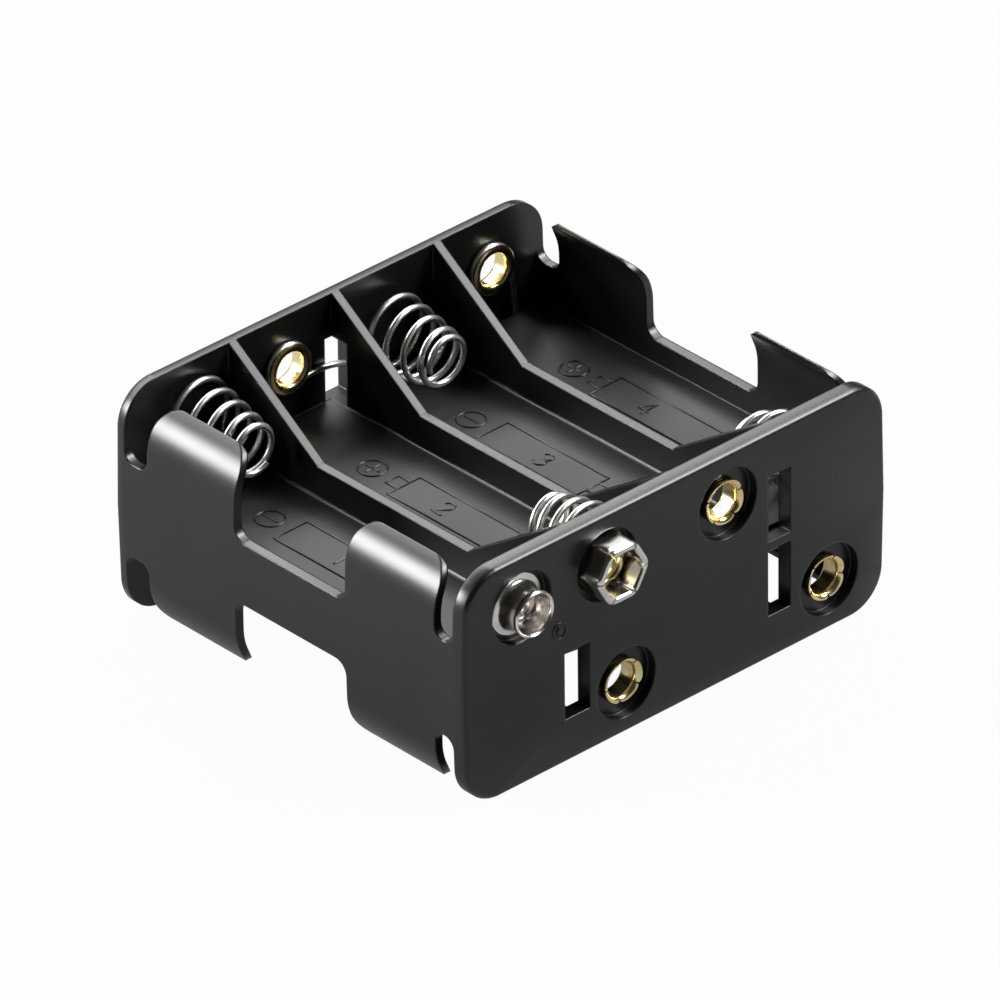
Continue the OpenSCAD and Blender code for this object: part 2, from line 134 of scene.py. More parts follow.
def moulded_plastic():
    """Black ABS: satin, matt on the floor, with flow marks, a parting line and worn rib tops."""
    made, tree = new_material("black ABS")
    place = add(tree, "ShaderNodeTexCoord", out=3)
    flow = add(tree, "ShaderNodeTexNoise", None, {"Vector": place, "Scale": 90.0, "Detail": 3.0})
    grain = add(tree, "ShaderNodeTexNoise", None, {"Vector": place, "Scale": 2400.0, "Detail": 2.0})
    height = add(tree, "ShaderNodeSeparateXYZ", None, {"Vector": place}, out=2)
    normal = add(tree, "ShaderNodeNewGeometry", out=3)
    facing = add(tree, "ShaderNodeSeparateXYZ", None, {"Vector": normal}, out=2)
    off_middle = abs(height - middle_z * MM)
    matt = (off_middle < (floor_half + 0.1) * MM) * (abs(facing) > 0.9)
    parting = off_middle < 0.07 * MM
    rib_tops = abs(off_middle - rib_top * MM) < 0.4 * MM
    blacks = [(0.3, (0.0036, 0.0036, 0.0038)), (0.7, (0.005, 0.005, 0.0052))]
    colour = add(tree, "ShaderNodeValToRGB", {"stops": blacks}, {"Fac": flow})
    rounded = add(tree, "ShaderNodeBevel", {"samples": 8}, {"Radius": 0.3 * MM})
    bump = add(tree, "ShaderNodeBump", None, {
        "Strength": 0.25, "Distance": 0.04 * MM, "Normal": rounded,
        "Height": grain * (rib_tops * 1.5 + matt * 0.25 + 0.04) + flow * 0.5 + parting})
    surface(tree, {
        "Base Color": colour, "Normal": bump,
        "Roughness": 0.24 + matt * 0.2 + flow * 0.1 + grain * 0.03})
    return made


black_abs = moulded_plastic()


# The eight curled ears: parts of the same moulding, each an upward run of the
# side wall round one wide arc, with a thin tip over the outer cell. The packed
# holder's narrower ears are cut off, and these are joined on in their place.

bay_x, bay_z, bay_r = 23.25, 8.25, 7.44
arc_x, arc_z, arc_r = 24.307, 8.05, 7.5
ear_l, ear_starts = 14.3, (-23.5, 8.9)
ear_tip_x, ear_tip_z, ear_corner_r = 28.7, 14.1, 3.0
cut_z, foot_z = 8.5, 6.5
foot_in, foot_out, foot_inset = 30.705, 31.829, 0.004
proud = 0.001


def ear_rows(start):
    """The rectangles of one ear from its foot, just inside the wall, to its tip."""
    rows = []
    bend_z = ear_tip_z - ear_corner_r
    turns = [math.radians(90 * k / 14) for k in range(1, 15)]
    heights = [foot_z, cut_z - 0.1] + [8.7 + 0.3 * k for k in range(9)]
    for z in heights + [bend_z + ear_corner_r * math.sin(turn) for turn in turns]:
        inner = max(ear_tip_x, bay_x + math.sqrt(max(0, bay_r ** 2 - (z - bay_z) ** 2)))
        outer = arc_x + math.sqrt(arc_r ** 2 - (z - arc_z) ** 2)
        inset = ear_corner_r - math.sqrt(max(0, ear_corner_r ** 2 - max(0, z - bend_z) ** 2)) - proud
        if z == foot_z:
            inner, outer, inset = foot_in, foot_out, foot_inset
        rows.append((inner, outer, start + inset, start + ear_l - inset, z))
    return rows


def stacked(mesh, rows, side, layer):
    """Adds one closed body through rows of rectangles to a mesh in the making."""
    corners = []
    for inner, outer, near, far, z in rows:
        ring = ((inner, near), (outer, near), (outer, far), (inner, far))
        corners.append([mesh.verts.new((
            side * x * MM, (y + middle_y) * MM, (layer * z + middle_z) * MM)) for x, y in ring])
    for low, high in zip(corners, corners[1:]):
        for k in range(4):
            mesh.faces.new((low[k], low[(k + 1) % 4], high[(k + 1) % 4], high[k]))
    mesh.faces.new(corners[0])
    mesh.faces.new(corners[-1])


def in_all_ears(name, rows_from):
    """One object with a body at each of the eight ears."""
    made = bmesh.new()
    for side in (-1, 1):
        for layer in (-1, 1):
            for start in ear_starts:
                stacked(made, rows_from(start), side, layer)
    bmesh.ops.recalc_face_normals(made, faces=made.faces)
    mesh = bpy.data.meshes.new(name)
    made.to_mesh(mesh)
    made.free()
    held = bpy.data.objects.new(name, mesh)
    bpy.context.collection.objects.link(held)
    return held


def room_rows(start):
    """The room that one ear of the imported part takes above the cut."""
    around, inner, outer, top = 0.5, 27.0, 34.0, 15.5
    return [(inner, outer, start - around, start + ear_l + around, z) for z in (cut_z, top)]


def curled_holder():
    """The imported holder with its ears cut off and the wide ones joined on."""
    raw = bmesh.new()
    raw.from_mesh(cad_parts["holder"].data)
    bmesh.ops.remove_doubles(raw, verts=raw.verts, dist=0.0001 * MM)
    mesh = bpy.data.meshes.new("moulding")
    raw.verts.index_update()
    faces = [[vert.index for vert in face.verts] for face in raw.faces]
    mesh.from_pydata([vert.co[:] for vert in raw.verts], [], faces)
    raw.free()
    moulding = bpy.data.objects.new("moulding", mesh)
    bpy.context.collection.objects.link(moulding)
    helpers = [in_all_ears("room", room_rows), in_all_ears("ears", ear_rows)]
    for helper, operation in zip(helpers, ("DIFFERENCE", "UNION")):
        cut = moulding.modifiers.new(helper.name, "BOOLEAN")
        cut.object, cut.operation, cut.solver = helper, operation, "MANIFOLD"
    bpy.context.view_layer.update()
    graph = bpy.context.evaluated_depsgraph_get()
    final = bpy.data.meshes.new_from_object(moulding.evaluated_get(graph), depsgraph=graph)
    for used in (moulding, *helpers):
        bpy.data.objects.remove(used)
    final.shade_smooth()
    final.set_sharp_from_angle(angle=math.radians(25))
    final.materials.clear()
    final.materials.append(black_abs)
    piece = bpy.data.objects.new("curl_eared_holder", final)
    bpy.context.collection.objects.link(piece)
    return piece


holder_piece = curled_holder()
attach(holder_piece, "housing")
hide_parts("holder")


# The eight springs: nickel-plated wire, wound to a cone of five turns, whose
# base runs on as a straight wire and a loop under the head of the next rivet.

plate_in = {"front": -26.5, "back": 27.0}
cell_pitch, cell_rise = 15.5, 8.25
wire_d, head_lift = 0.75, 0.85
base_r, tip_r, loop_r = 4.925, 2.675, 2.775
spring_l, spring_turns = 10.8, 4.9


def brushed_nickel(name, tint, rough):
    """Bright nickel plating, with drawing lines and a few duller spots."""
    made, tree = new_material(name)
    place = add(tree, "ShaderNodeTexCoord", out=3)
    spots = add(tree, "ShaderNodeTexNoise", None, {"Vector": place, "Scale": 700.0, "Detail": 4.0})
    drawn = add(tree, "ShaderNodeTexNoise", None, {"Vector": place, "Scale": 4000.0, "Detail": 2.0})
    colour = add(tree, "ShaderNodeValToRGB", {"stops": [
        (0.3, tuple(0.86 * c for c in tint)), (0.65, tint)]}, {"Fac": spots})
    bump = add(tree, "ShaderNodeBump", None, {
        "Strength": 0.12, "Distance": 0.03 * MM, "Height": drawn + spots * 0.5})
    surface(tree, {
        "Base Color": colour, "Metallic": 1.0, "Roughness": rough + spots * 0.12, "Normal": bump})
    return made


wire_nickel = brushed_nickel("nickel-plated wire", (0.82, 0.81, 0.79), 0.24)


def arc(centre, r, start, end, z, n):
    """Points along part of a circle, at one height."""
    turns = [start + (end - start) * k / n for k in range(n + 1)]
    return [np.array([centre[0] + r * math.cos(a), centre[1] + r * math.sin(a), z]) for a in turns]


def bridge(p, q, u, v, n):
    """Points of a smooth run between p and q, without its ends."""
    points = []
    for k in range(1, n):
        t = k / n
        points.append((1 - t) ** 3 * p + 3 * (1 - t) ** 2 * t * u + 3 * (1 - t) * t * t * v + t ** 3 * q)
    return points


def coil(start, z_from, lean):
    """Points of the cone of wire, whose last turn is closed."""
    z_to = spring_l - wire_d / 2
    n, closed = round(spring_turns * 36), 1.1 * wire_d
    rise = (z_to - z_from - closed) / (spring_turns - 1)
    points = []
    for k in range(n + 1):
        t = k / n
        turn = spring_turns * t
        a, r = start + math.tau * turn, base_r + (tip_r - base_r) * t
        z = z_from + min(turn, spring_turns - 1) * rise + max(turn - spring_turns + 1, 0) * closed
        points.append(np.array([r * math.cos(a) + lean[0] * t, r * math.sin(a) + lean[1] * t, z]))
    return points


def spring_path(target, leave, enter, lift=0.0, lean=(0, 0)):
    """The loop round the next rivet, the link to the base, and the cone of turns."""
    z = wire_d / 2 + 0.05
    loop = arc(target, loop_r, leave - math.radians(250), leave, z, 30)
    turns = coil(enter, z + lift, lean)
    p, q = loop[-1], turns[0]
    reach = np.linalg.norm(q - p) / 3
    u = p + reach * np.array([-math.sin(leave), math.cos(leave), 0])
    v = q - np.array([0, 0, lift * 2 / 3]) - reach * np.array([-math.sin(enter), math.cos(enter), 0])
    return loop + bridge(p, q, u, v, 14) + turns


def bent_spring(target, base, leave, enter, lift=0.0, lean=(0, 0)):
    """A spring whose first turn lies at base, as seen from the axis of its cell."""
    path = spring_path(np.subtract(target, base), math.radians(leave), math.radians(enter), lift, lean)
    return [point + np.array([*base, 0]) for point in path]


def linked_spring(target, base, lean=(0, 0)):
    """The same with the shortest link, which touches the loop and the first turn."""
    link = np.subtract(target, base)
    touch = math.atan2(link[1], link[0]) + math.acos((base_r - loop_r) / np.linalg.norm(link))
    return bent_spring(target, base, math.degrees(touch), math.degrees(touch), 0.0, lean)


def beside_plate(points, cell, rise, plate, flip=(1, 1)):
    """Puts points that are drawn over a plate's inner face in their place, in metres."""
    out = 1 if plate == "front" else -1
    x0 = (cell - 2.5) * cell_pitch
    placed = []
    for x, y, z in points:
        x, y = x * flip[0], y * flip[1]
        up = -y if plate == "front" else y
        placed.append(Vector((x0 + x, plate_in[plate] + out * z + middle_y, rise + up + middle_z)) * MM)
    return placed


def wire_tree():
    """Geometry Nodes: a round wire of one thickness, bent along the curve it is given."""
    tree = bpy.data.node_groups.new("wire along its path", "GeometryNodeTree")
    for name, way, kind in (
        ("Path", "INPUT", "NodeSocketGeometry"), ("Wire diameter", "INPUT", "NodeSocketFloat"),
        ("Sides", "INPUT", "NodeSocketInt"), ("Finish", "INPUT", "NodeSocketMaterial"),
        ("Wire", "OUTPUT", "NodeSocketGeometry"),
    ):
        tree.interface.new_socket(name, in_out=way, socket_type=kind)
    given = tree.nodes.new("NodeGroupInput")
    ring = tree.nodes.new("GeometryNodeCurvePrimitiveCircle")
    half = tree.nodes.new("ShaderNodeMath")
    half.operation = "MULTIPLY"
    half.inputs[1].default_value = 0.5
    sweep = tree.nodes.new("GeometryNodeCurveToMesh")
    sweep.inputs["Fill Caps"].default_value = True
    smooth = tree.nodes.new("GeometryNodeSetShadeSmooth")
    real = tree.nodes.new("GeometryNodeRealizeInstances")
    dress = tree.nodes.new("GeometryNodeSetMaterial")
    made = tree.nodes.new("NodeGroupOutput")
    link = tree.links.new
    link(given.outputs["Wire diameter"], half.inputs[0])
    link(half.outputs[0], ring.inputs["Radius"])
    link(given.outputs["Sides"], ring.inputs["Resolution"])
    link(given.outputs["Path"], sweep.inputs["Curve"])
    link(ring.outputs["Curve"], sweep.inputs["Profile Curve"])
    link(sweep.outputs["Mesh"], smooth.inputs["Geometry"])
    link(smooth.outputs["Geometry"], real.inputs["Geometry"])
    link(real.outputs["Geometry"], dress.inputs["Geometry"])
    link(given.outputs["Finish"], dress.inputs["Material"])
    link(dress.outputs["Geometry"], made.inputs["Wire"])
    return tree


def baked(name, source, tree, values, wall=0.0):
    """Runs a tree on an object, with a wall if one is given, and keeps the plain mesh."""
    modifier = source.modifiers.new("made", "NODES")
    modifier.node_group = tree
    keys = {i.name: i.identifier for i in tree.interface.items_tree if i.in_out == "INPUT"}
    for key, value in values.items():
        modifier[keys[key]] = value
    if wall:
        sheet = source.modifiers.new("sheet", "SOLIDIFY")
        sheet.thickness, sheet.offset, sheet.use_even_offset = wall, 0, True
    bpy.context.view_layer.update()
    graph = bpy.context.evaluated_depsgraph_get()
    mesh = bpy.data.meshes.new_from_object(source.evaluated_get(graph), depsgraph=graph)
    bpy.data.objects.remove(source)
    piece = bpy.data.objects.new(name, mesh)
    bpy.context.collection.objects.link(piece)
    return piece


def path_object(name, points, closed=False):
    """A curve of one straight-sided spline through points."""
    curve = bpy.data.curves.new(name, "CURVE")
    curve.dimensions = "3D"
    spline = curve.splines.new("POLY")
    spline.points.add(len(points) - 1)
    for point, at in zip(spline.points, points):
        point.co = (*at, 1)
    spline.use_cyclic_u = closed
    held = bpy.data.objects.new(name, curve)
    bpy.context.collection.objects.link(held)
    return held


wire_maker = wire_tree()
over_head = head_lift + 0.15 + 0.38
# Each spring's path, its cell, its layer, its plate and which way round it lies
springs = {
    "top_1": (linked_spring([0, -16.5], [1.5, -0.6], [0.1, -0.2]), 1, 1, "back", (1, 1)),
    "top_2": (bent_spring([-2.8, 0], [0.3, 1.3], -60, 75, over_head, [-0.3, -0.75]), 2, 1, "front", (1, 1)),
    "top_3": (bent_spring([-15.5, 0], [-0.6, -1.4], 285, 225, 0, [0.2, 0.2]), 3, 1, "back", (1, 1)),
    "top_4": (bent_spring([-15.5, 0], [0, -0.8], 290, 205, 0, [-0.5, -3]), 4, 1, "front", (1, -1)),
    "low_1": (bent_spring([15.5, 0], [0, 1], 25, 95), 1, -1, "front", (1, -1)),
    "low_2": (linked_spring([15.5, 0], [0, 0.6]), 2, -1, "back", (1, 1)),
    "low_3": (bent_spring([15.5, 0], [0, 1], 25, 95), 3, -1, "front", (1, -1)),
    "low_4": (linked_spring([0, 16.5], [0, 0.6]), 4, -1, "back", (-1, 1)),
}
for cell, (points, number, side, plate, flip) in springs.items():
    placed = beside_plate(points, number, side * cell_rise, plate, flip)
    held = path_object("path", placed)
    spring = baked(f"contact_spring_{cell}", held, wire_maker, {
        "Wire diameter": wire_d * MM, "Sides": 14, "Finish": wire_nickel})
    out = 1 if plate == "front" else -1
    tip_y = plate_in[plate] + out * spring_l
    tip = Vector(((number - 2.5) * cell_pitch, tip_y + middle_y, side * cell_rise + middle_z)) * MM
    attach(spring, f"contact_{cell}")
    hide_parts(f"spring_{cell}")
    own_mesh(spring)


# The raised marks of the upper floor: each bay shows the outline of a cell, a
# plus and a minus where its ends go, and the bay's number. They belong to the
# holder's moulding: round beads, half sunk, that stand 0.15 mm out of its floor.

floor_top = floor_half + middle_z
bead_d = 0.3
body_half, nub_half, nub_l = 2.5, 1.0, 1.9
ring_r, bar_half = 1.68, 1.1
# The numbers' strokes, from their left foot
digits = {
    1: [[(0, 0), (0, 2.6)]],
    2: [[(-0.7, 2.1), (-0.5, 2.5), (0, 2.6), (0.5, 2.5), (0.7, 2.0), (0.6, 1.5), (-0.7, 0), (0.75, 0)]],
    3: [[(-0.7, 2.2), (-0.3, 2.6), (0.3, 2.6), (0.7, 2.2), (0.6, 1.6), (0.1, 1.4), (0.6, 1.2), (0.8, 0.6),
         (0.4, 0.1), (-0.2, 0), (-0.7, 0.4)]],
    4: [[(0.4, 0), (0.4, 2.6), (-0.8, 0.8), (0.8, 0.8)]],
}


def ring_path(y, r):
    """A small circle about a cell's axis, as x and y."""
    return [(r * math.cos(math.tau * k / 24), y + r * math.sin(math.tau * k / 24)) for k in range(25)]


def bay_marks(number, plus_back):
    """Strokes of one bay, as x and y from the middle of its cell."""
    back, front = (7.7, -8.9) if plus_back else (9.5, -7.0)
    nub, nub_end = (back, back + nub_l) if plus_back else (front, front - nub_l)
    strokes = [[(-body_half, back), (body_half, back), (body_half, front), (-body_half, front),
                (-body_half, back)]]
    strokes.append([(-nub_half, nub), (-nub_half, nub_end), (nub_half, nub_end), (nub_half, nub)])
    for y, is_plus in ((12.8, plus_back), (-12.2, not plus_back)):
        strokes += [ring_path(y, ring_r), [(0, y - bar_half), (0, y + bar_half)]]
        if is_plus:
            strokes.append([(-bar_half, y), (bar_half, y)])
    for stroke in digits[number]:
        strokes.append([(v - 1.3, 1.0 - u) for u, v in stroke])
    return strokes


for number, off in ((1, 0.3), (2, 0.2), (3, -0.3), (4, 0.0)):
    beads = []
    for stroke in bay_marks(number, number in (2, 4)):
        x0 = (number - 2.5) * cell_pitch + off
        placed = [Vector((x0 + x, y + middle_y, floor_top)) * MM for x, y in stroke]
        beads.append(baked("bead", path_object("stroke", placed), wire_maker, {
            "Wire diameter": bead_d * MM, "Sides": 8, "Finish": black_abs}))
    marks = beads[0]
    shape = bmesh.new()
    for bead in beads:
        shape.from_mesh(bead.data)
    shape.to_mesh(marks.data)
    shape.free()
    for bead in beads[1:]:
        bpy.data.objects.remove(bead)
    marks.name = f"floor_marks_bay_{number}"
    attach(marks, "housing")


# The gate mark between the snaps, where the plastic came into the mould: a low
# ring on the front plate round the stub that was broken off.

gate_x, gate_y, gate_z = -17.74, -28.5 + middle_y, 2.82 + middle_z
gate_r, gate_bead_d = 1.0, 0.24
round_gate = []
for k in range(33):
    a = math.tau * k / 32
    round_gate.append(Vector((gate_x + gate_r * math.cos(a), gate_y, gate_z + gate_r * math.sin(a))) * MM)
gate = baked("gate_mark", path_object("gate", round_gate), wire_maker, {
    "Wire diameter": gate_bead_d * MM, "Sides": 8, "Finish": black_abs})
shape = bmesh.new()
shape.from_mesh(gate.data)
stub = bmesh.ops.create_icosphere(shape, subdivisions=3, radius=1.0)["verts"]
for vert in stub:
    x, y, z = vert.co
    rough = 1 + 0.22 * math.sin(9 * x + 4 * z) * math.cos(7 * z - 3 * y)
    vert.co = Vector((gate_x + 0.52 * rough * x, gate_y + 0.2 * rough * y, gate_z + 0.6 * rough * z)) * MM
shape.to_mesh(gate.data)
shape.free()
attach(gate, "housing")


# The hollow rivets: drawn brass tubes with a flat head inside the bay, whose
# outer ends are rolled over in a round recess and split into petals.


def bright_brass():
    """Polished brass with faint drawing lines and a little tarnish."""
    made, tree = new_material("bright brass")
    place = add(tree, "ShaderNodeTexCoord", out=3)
    spots = add(tree, "ShaderNodeTexNoise", None, {"Vector": place, "Scale": 500.0, "Detail": 4.0})
    drawn = add(tree, "ShaderNodeTexNoise", None, {"Vector": place, "Scale": 5000.0, "Detail": 2.0})
    colour = add(tree, "ShaderNodeValToRGB", {"stops": [
        (0.3, (0.80, 0.62, 0.28)), (0.6, (0.94, 0.80, 0.47))]}, {"Fac": spots})
    bump = add(tree, "ShaderNodeBump", None, {
        "Strength": 0.12, "Distance": 0.03 * MM, "Height": drawn + spots * 0.5})
    surface(tree, {
        "Base Color": colour, "Metallic": 1.0, "Roughness": 0.16 + spots * 0.14, "Normal": bump})
    return made


brass = bright_brass()
sheet_t, head_r, bore_r = 0.3, 3.2, 2.05
rolled_l = 0.8
petals = 5


def rivet_rows(bore, lift, grip, flare):
    """Middle line of a rivet's sheet, from the head's rim to the flared edge.

    Each row is its radius, its height over the plate's inner face and how free
    it is: 0 in the tube and 1 along the edge of the petals."""
    tube = bore + sheet_t / 2
    top = lift + 0.23
    rows = [(head_r - 0.15, top - 0.09, 0), (head_r - 0.35, top - 0.02, 0), (head_r - 0.6, top, 0),
            (tube + 0.24, top - 0.02, 0), (tube + 0.07, top - 0.09, 0), (tube, top - 0.26, 0)]
    start = -grip - rolled_l + sheet_t / 2 + flare
    rows += [(tube, start + 0.3, 0), (tube, start + 0.1, 0)]
    for k in range(11):
        a = math.radians(86) * k / 10
        rows.append((tube + flare * (1 - math.cos(a)), start - flare * math.sin(a), k / 10))
    return rows


def petal_sector(rows):
    """One fifth of a rivet, whose free end narrows to a petal with round corners."""
    across = 12
    points, free = [], []
    for r, z, loose in rows:
        for k in range(across + 1):
            u = 2 * k / across - 1
            a = math.pi / petals * u * (1 - 0.1 * loose)
            drop = 0.14 * loose * loose * abs(u) ** 5
            points.append(((r - drop) * math.cos(a), (r - drop) * math.sin(a), z + drop))
            free.append(loose)
    return sector_object("petal", points, free, across)


def sector_object(name, points, free, across):
    """Rows of points as a sheet, with how free each point is."""
    faces = []
    for i in range(len(points) // (across + 1) - 1):
        for k in range(across):
            at = i * (across + 1) + k
            faces.append((at, at + across + 1, at + across + 2, at + 1))
    mesh = bpy.data.meshes.new(name)
    mesh.from_pydata([Vector(point) * MM for point in points], [], faces)
    mesh.attributes.new("free", "FLOAT", "POINT").data.foreach_set("value", free)
    sector = bpy.data.objects.new(name, mesh)
    bpy.context.collection.objects.link(sector)
    return sector


def rivet_tree():
    """Geometry Nodes: repeats one petal round the axis, joins the tube and bends each one a little."""
    tree = bpy.data.node_groups.new("rolled rivet", "GeometryNodeTree")
    for name, way, kind in (
        ("Petal", "INPUT", "NodeSocketGeometry"), ("Petals", "INPUT", "NodeSocketInt"),
        ("Unevenness", "INPUT", "NodeSocketFloat"), ("Seed", "INPUT", "NodeSocketFloat"),
        ("Finish", "INPUT", "NodeSocketMaterial"), ("Rivet", "OUTPUT", "NodeSocketGeometry"),
    ):
        tree.interface.new_socket(name, in_out=way, socket_type=kind)
    new, link = tree.nodes.new, tree.links.new
    given = new("NodeGroupInput")
    seats = new("GeometryNodePoints")
    number = new("GeometryNodeInputIndex")
    step = new("ShaderNodeMath")
    step.operation = "DIVIDE"
    step.inputs[0].default_value = math.tau
    angle = new("ShaderNodeMath")
    angle.operation = "MULTIPLY"
    turn = new("ShaderNodeCombineXYZ")
    placed = new("GeometryNodeInstanceOnPoints")
    real = new("GeometryNodeRealizeInstances")
    joined = new("GeometryNodeMergeByDistance")
    joined.inputs["Distance"].default_value = 0.000004
    free = new("GeometryNodeInputNamedAttribute")
    free.data_type = "FLOAT"
    free.inputs["Name"].default_value = "free"
    wave = new("ShaderNodeTexNoise")
    wave.noise_dimensions = "4D"
    wave.inputs["Scale"].default_value = 420.0
    wave.inputs["Detail"].default_value = 0.0
    centred = new("ShaderNodeVectorMath")
    centred.operation = "SUBTRACT"
    centred.inputs[1].default_value = (0.5, 0.5, 0.5)
    reach = new("ShaderNodeMath")
    reach.operation = "MULTIPLY"
    shift = new("ShaderNodeVectorMath")
    shift.operation = "SCALE"
    moved = new("GeometryNodeSetPosition")
    smooth = new("GeometryNodeSetShadeSmooth")
    dress = new("GeometryNodeSetMaterial")
    made = new("NodeGroupOutput")
    link(given.outputs["Petals"], seats.inputs["Count"])
    link(given.outputs["Petals"], step.inputs[1])
    link(step.outputs[0], angle.inputs[0])
    link(number.outputs[0], angle.inputs[1])
    link(angle.outputs[0], turn.inputs["Z"])
    link(seats.outputs[0], placed.inputs["Points"])
    link(given.outputs["Petal"], placed.inputs["Instance"])
    link(turn.outputs[0], placed.inputs["Rotation"])
    link(placed.outputs[0], real.inputs[0])
    link(real.outputs[0], joined.inputs["Geometry"])
    link(given.outputs["Seed"], wave.inputs["W"])
    link(wave.outputs["Color"], centred.inputs[0])
    link(free.outputs["Attribute"], reach.inputs[0])
    link(given.outputs["Unevenness"], reach.inputs[1])
    link(centred.outputs[0], shift.inputs[0])
    link(reach.outputs[0], shift.inputs["Scale"])
    link(joined.outputs[0], moved.inputs["Geometry"])
    link(shift.outputs[0], moved.inputs["Offset"])
    link(moved.outputs[0], smooth.inputs["Geometry"])
    link(smooth.outputs[0], dress.inputs["Geometry"])
    link(given.outputs["Finish"], dress.inputs["Material"])
    link(dress.outputs[0], made.inputs["Rivet"])
    return tree


def set_on_plate(piece, x, z, plate, turn):
    """Turns a mesh drawn along +Z about its axis and sets it on the inner face of a plate."""
    out = 1 if plate == "front" else -1
    place = Matrix.Translation(Vector((x, plate_in[plate] + middle_y, z + middle_z)) * MM)
    piece.data.transform(place @ Matrix.Rotation(-out * math.pi / 2, 4, "X") @ Matrix.Rotation(turn, 4, "Z"))
    piece.data.set_sharp_from_angle(angle=math.radians(50))


rivet_maker = rivet_tree()
front_grip, back_grip = 0.8, 0.6
stud_x, socket_x = -23.25, -10.55
snap_t = 0.35
# Each rivet's place, its layer, its plate, its head's height and the plate that it holds
rivets = {
    "eyelet_top_2": (-7.75, 1, "back", head_lift, back_grip),
    "eyelet_top_3": (7.75, 1, "front", head_lift, front_grip),
    "eyelet_top_4": (23.25, 1, "back", head_lift, back_grip),
    "eyelet_low_1": (-23.25, -1, "back", head_lift, back_grip),
    "eyelet_low_2": (-7.75, -1, "front", head_lift, front_grip),
    "eyelet_low_3": (7.75, -1, "back", head_lift, back_grip),
    "eyelet_low_4": (23.25, -1, "front", head_lift, front_grip),
    "socket_rivet": (socket_x, 1, "front", head_lift + 0.15, front_grip + snap_t),
}
for number, (node, (x, side, plate, lift, grip)) in enumerate(rivets.items()):
    sector = petal_sector(rivet_rows(bore_r, lift, grip, 0.6))
    rivet = baked(f"flared_{node}", sector, rivet_maker, {
        "Petals": petals, "Unevenness": 0.00035, "Seed": 3.7 * number, "Finish": brass}, sheet_t * MM)
    set_on_plate(rivet, x, side * cell_rise, plate, 0.5 + 1.1 * number)
    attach(rivet, "housing")
    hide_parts(node)


# The snap pair: a stud drawn from one cup of sheet, and a hexagonal socket whose
# sides are sprung leaves. Both are nickel-plated and sit in recesses of the front
# plate, each held by a rivet through its foot.

snap_nickel = brushed_nickel("nickel-plated sheet", (0.80, 0.78, 0.75), 0.18)
worn_nickel = brushed_nickel("worn nickel plating", (0.66, 0.61, 0.54), 0.26)
seat = -front_grip
stud_t = 0.16
# The middle line of the stud's sheet: radius, and height over the recess
stud_rows = [
    (3.7, 0.09), (3.3, 0.1), (3.0, 0.14), (2.8, 0.28), (2.66, 0.5), (2.54, 0.85), (2.46, 1.25), (2.45, 1.75),
    (2.52, 2.2), (2.64, 2.6), (2.74, 2.9), (2.765, 3.12), (2.73, 3.26), (2.65, 3.31), (2.56, 3.25), (2.5, 3.05),
    (2.44, 2.7), (2.33, 2.2), (2.27, 1.6), (2.26, 1.1), (2.18, 0.85), (2.02, 0.72), (1.7, 0.7)]
stud_sector = petal_sector([(r, seat - z, 0) for r, z in stud_rows])
stud = baked("drawn_snap_stud", stud_sector, rivet_maker, {
    "Petals": petals, "Unevenness": 0.0, "Seed": 0.0, "Finish": snap_nickel}, stud_t * MM)
tube_sector = petal_sector(rivet_rows(1.2, 0.05, front_grip + snap_t, 0.58))
stud_tube = baked("flared_stud_rivet", tube_sector, rivet_maker, {
    "Petals": petals, "Unevenness": 0.0002, "Seed": 5.0, "Finish": worn_nickel}, sheet_t * MM)


def leaf_sector(rows):
    """One side of the hexagonal socket, cut free of its neighbours above the slits."""
    across, corner = 16, 0.16
    points = []
    for flat, z, loose in rows:
        half = (flat - corner) * math.tan(math.pi / 6) - 0.1 * loose
        for k in range(across + 1):
            u = 2 * k / across - 1
            points.append((flat - corner * abs(u) ** 6, half * u, z))
    return sector_object("leaf", points, [0.0] * len(points), across)


# The middle line of a leaf: distance from the axis, height, and 1 above the slits
leaf_rows = [
    (2.65, 0.175, 0), (3.0, 0.175, 0), (3.2, 0.2, 0), (3.29, 0.29, 0), (3.325, 0.45, 0), (3.325, 1.0, 0),
    (3.325, 1.04, 1), (3.325, 3.5, 1), (3.3, 3.66, 1), (3.22, 3.8, 1), (3.1, 3.865, 1), (2.95, 3.86, 1),
    (2.85, 3.79, 1), (2.79, 3.62, 1)]
leaf = leaf_sector([(flat, seat - z, loose) for flat, z, loose in leaf_rows])
socket = baked("hexagonal_snap_socket", leaf, rivet_maker, {
    "Petals": 6, "Unevenness": 0.0, "Seed": 0.0, "Finish": snap_nickel}, snap_t * MM)
for piece, node, x, slot, turn in (
    (stud, "snap_stud", stud_x, "snap_nickel", 0.0),
    (stud_tube, "stud_rivet", stud_x, "rivet_brass", 0.4),
    (socket, "snap_socket", socket_x, "snap_nickel", math.pi / 6),
):
    set_on_plate(piece, x, cell_rise, "front", turn)
    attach(piece, "housing")
    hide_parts(node)


# The white paper that it stands on, four soft lamps round it, and the camera, far
# off and a little above. None of them is part of the holder.


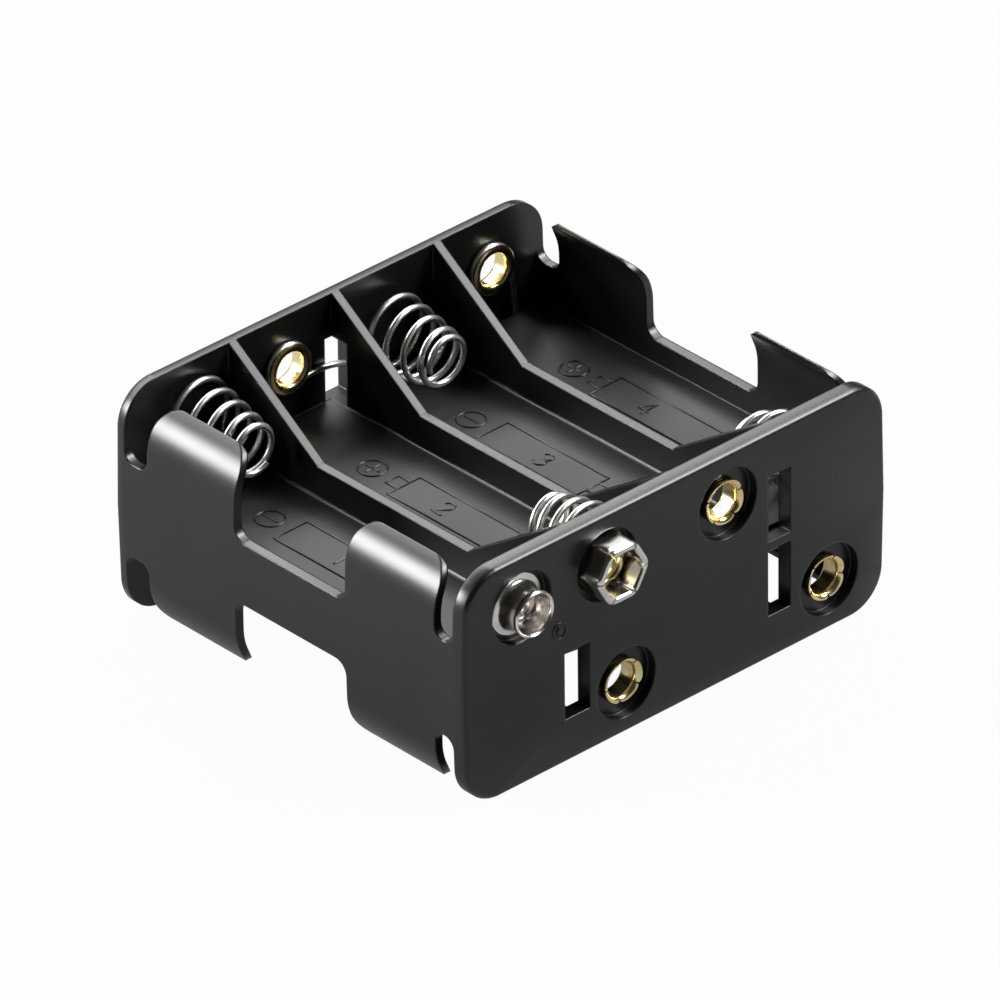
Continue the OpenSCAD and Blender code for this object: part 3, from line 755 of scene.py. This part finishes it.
def pale_floor():
    """White paper that keeps a soft shadow; in reflections its glow is cut towards the front, a painted shade
    of the holder.
    """
    made, tree = new_material("white paper")
    camera_ray, glossy_ray, clear_ray = [add(tree, "ShaderNodeLightPath", out=k) for k in (0, 3, 6)]
    place = add(tree, "ShaderNodeTexCoord", out=3)
    along = add(tree, "ShaderNodeSeparateXYZ", None, {"Vector": place}, out=1)
    # Painted shade: glossy rays see less of the paper's glow in front of the holder, standing in for its own
    # shadow there
    glow_in_reflections_painted_shade = add(tree, "ShaderNodeMapRange", {"interpolation_type": "SMOOTHSTEP"}, {
        "Value": along, "From Min": -0.045, "From Max": -0.025, "To Min": 0.18, "To Max": 0.32})
    seen = camera_ray * 0.97 + clear_ray * 0.97 + glossy_ray * glow_in_reflections_painted_shade
    paper = add(tree, "ShaderNodeBsdfDiffuse", None, {"Color": (0.25, 0.25, 0.25, 1)})
    glow = add(tree, "ShaderNodeEmission", None, {"Color": (1, 1, 1, 1), "Strength": 1.0})
    mixed = add(tree, "ShaderNodeMixShader", None, {0: seen, 1: paper, 2: glow})
    tree.links.new(mixed.socket, tree.nodes["Material Output"].inputs["Surface"])
    return made


size = 3.0
corners = [(x * size, y * size, 0) for x, y in ((-1, -1), (1, -1), (1, 1), (-1, 1))]
sheet = bpy.data.meshes.new("floor")
sheet.from_pydata(corners, [], [(0, 1, 2, 3)])
floor = bpy.data.objects.new("floor", sheet)
bpy.context.collection.objects.link(floor)
sheet.materials.append(pale_floor())

world = bpy.data.worlds.new("studio")
bpy.context.scene.world = world
world.use_nodes = True
backdrop = world.node_tree.nodes["Background"]
backdrop.inputs["Color"].default_value = (1, 1, 1, 1)
backdrop.inputs["Strength"].default_value = 0.03


def softbox(name, at, width, height, power, aim=(0, 0, 0.015)):
    """A soft lamp that faces the holder."""
    light = bpy.data.lights.new(name, "AREA")
    light.shape, light.size, light.size_y, light.energy = "RECTANGLE", width, height, power
    lamp = bpy.data.objects.new(name, light)
    bpy.context.collection.objects.link(lamp)
    lamp.location = at
    lamp.rotation_euler = (Vector(at) - Vector(aim)).to_track_quat("Z", "Y").to_euler()


softbox("lamp_left", (-0.63, 0.56, 0.27), 0.45, 0.28, 12)
softbox("lamp_over_back", (0.08, 0.66, 0.68), 1.3, 0.4, 12.5)
softbox("lamp_over_right", (0.58, -0.1, 0.7), 0.8, 0.3, 7)
softbox("lamp_front_right", (0.56, -0.5, 0.6), 0.4, 0.3, 8)

azimuth, elevation, roll = math.radians(-42.688), math.radians(31.725), math.radians(-0.586)
distance = 1.9
target = Vector((0.879, 1.425, 14.521)) * MM
back = Vector((
    math.sin(azimuth) * math.cos(elevation), -math.cos(azimuth) * math.cos(elevation), math.sin(elevation)))
right = Vector((0, 0, 1)).cross(back).normalized()
up = back.cross(right)
side = right * math.cos(roll) + up * math.sin(roll)
above = up * math.cos(roll) - right * math.sin(roll)
lens = bpy.data.cameras.new("camera")
camera = bpy.data.objects.new("camera", lens)
bpy.context.collection.objects.link(camera)
turned = Matrix((side, above, back)).transposed().to_4x4()
camera.matrix_world = Matrix.Translation(target + back * distance) @ turned
lens.sensor_width, lens.lens = 36, 17.08584 * 36
lens.shift_x, lens.shift_y = -0.006553, -0.006096
lens.clip_start, lens.clip_end = 0.1, 20
bpy.context.scene.camera = camera

bpy.context.scene.view_settings.view_transform = "Standard"
